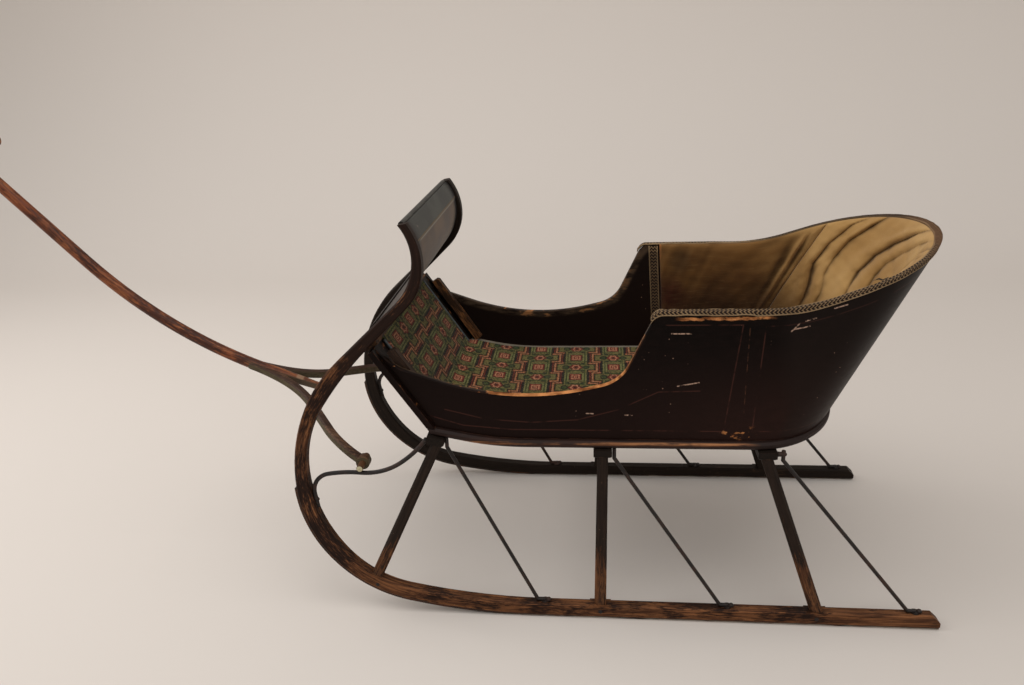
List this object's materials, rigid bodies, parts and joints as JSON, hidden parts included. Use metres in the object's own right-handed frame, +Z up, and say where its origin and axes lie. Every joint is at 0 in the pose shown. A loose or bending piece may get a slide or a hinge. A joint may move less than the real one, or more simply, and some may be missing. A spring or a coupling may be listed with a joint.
{
  "type": "child's pull sleigh",
  "caption": "Child's pull sleigh: bent runners rise into a dashboard, before a carpeted foot well and padded round back, with a hinged forked pulling pole.",
  "frame": {"origin": "on the floor, below the middle of the whole length and width, pole included", "axes": "the sleigh faces -X, the pole at its low X end; +Y is its right side; +Z is up"},
  "size_m": [1.6236, 0.46, 0.7678],
  "materials": {
    "body_paint": "worn dark maroon paint with thin lines",
    "bare_wood": "bare softwood",
    "worn_wood": "worn brown paint",
    "runner_wood": "worn black-brown paint",
    "pole_wood": "reddish-brown varnish",
    "dowel_wood": "rubbed varnish",
    "rod_iron": "black paint with brown rust",
    "shoe_steel": "worn and lightly rusted",
    "dash_leather": "black dash leather with dull sheen",
    "upholstery": "faded olive-tan cloth",
    "carpet": "flat-woven geometric carpet"
  },
  "bodies": {
    "sleigh": {"arm_pad_left": "upholstery", "arm_pad_right": "upholstery", "back_pad": "upholstery", "back_shell": "body_paint", "carpet": "carpet", "cross_bar_front": "runner_wood", "cross_bar_middle": "runner_wood", "cross_bar_rear": "runner_wood", "dash_cap": "dash_leather", "dash_panel": "dash_leather", "dash_rail": "runner_wood", "floor_board": "body_paint", "post_front_left": "runner_wood", "post_front_right": "runner_wood", "post_middle_left": "runner_wood", "post_middle_right": "runner_wood", "post_rear_left": "runner_wood", "post_rear_right": "runner_wood", "runner_left": "runner_wood", "runner_right": "runner_wood", "runner_shoe_left": "shoe_steel", "runner_shoe_right": "shoe_steel", "scroll_brace_left": "rod_iron", "scroll_brace_right": "rod_iron", "seat_board": "bare_wood", "seat_cushion": "upholstery", "seat_riser": "body_paint", "side_panel_left": "body_paint", "side_panel_right": "body_paint", "stay_front_left": "rod_iron", "stay_front_right": "rod_iron", "stay_middle_left": "rod_iron", "stay_middle_right": "rod_iron", "stay_rear_left": "rod_iron", "stay_rear_right": "rod_iron", "toe_board": "body_paint", "toe_cleat_left": "worn_wood", "toe_cleat_right": "worn_wood", "toe_rail": "worn_wood"},
    "tongue": {"tongue_pole": "pole_wood", "tongue_arm_left": "pole_wood", "tongue_arm_right": "pole_wood", "tongue_grip": "pole_wood", "tongue_dowel": "dowel_wood"}
  },
  "joints": [
    {"name": "tongue_hinge", "type": "hinge", "parent": "sleigh", "child": "tongue", "pos_m": [-0.0922, 0, 0.26123], "axis": [0, 1, 0], "range_deg": [-50, 70]}
  ]
}
